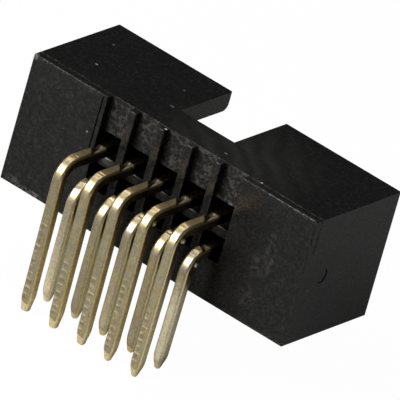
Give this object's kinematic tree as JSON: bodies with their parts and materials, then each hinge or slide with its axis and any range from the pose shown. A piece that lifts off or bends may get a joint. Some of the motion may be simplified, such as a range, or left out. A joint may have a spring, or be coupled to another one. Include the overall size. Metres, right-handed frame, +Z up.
{
  "type": "pin header",
  "caption": "Right-angle box pin header: a keyed black moulded shroud, open at the front, with rows of square plated contacts bent down behind it for a circuit board.",
  "frame": {"origin": "middle of the grid of tails, on the board's surface, which is the plane of the housing's underside", "axes": "+X along the rows of contacts, +Y out of the mating side, +Z up from the board"},
  "size_m": [0.0126, 0.0073, 0.0075],
  "materials": {
    "housing_plastic": "fine matt moulded",
    "contact_plating": "satin gold flash"
  },
  "bodies": {
    "root": {"housing": "housing_plastic", "upper_pin_1": "contact_plating", "upper_pin_2": "contact_plating", "upper_pin_3": "contact_plating", "upper_pin_4": "contact_plating", "upper_pin_5": "contact_plating", "lower_pin_1": "contact_plating", "lower_pin_2": "contact_plating", "lower_pin_3": "contact_plating", "lower_pin_4": "contact_plating", "lower_pin_5": "contact_plating"}
  },
  "joints": []
}
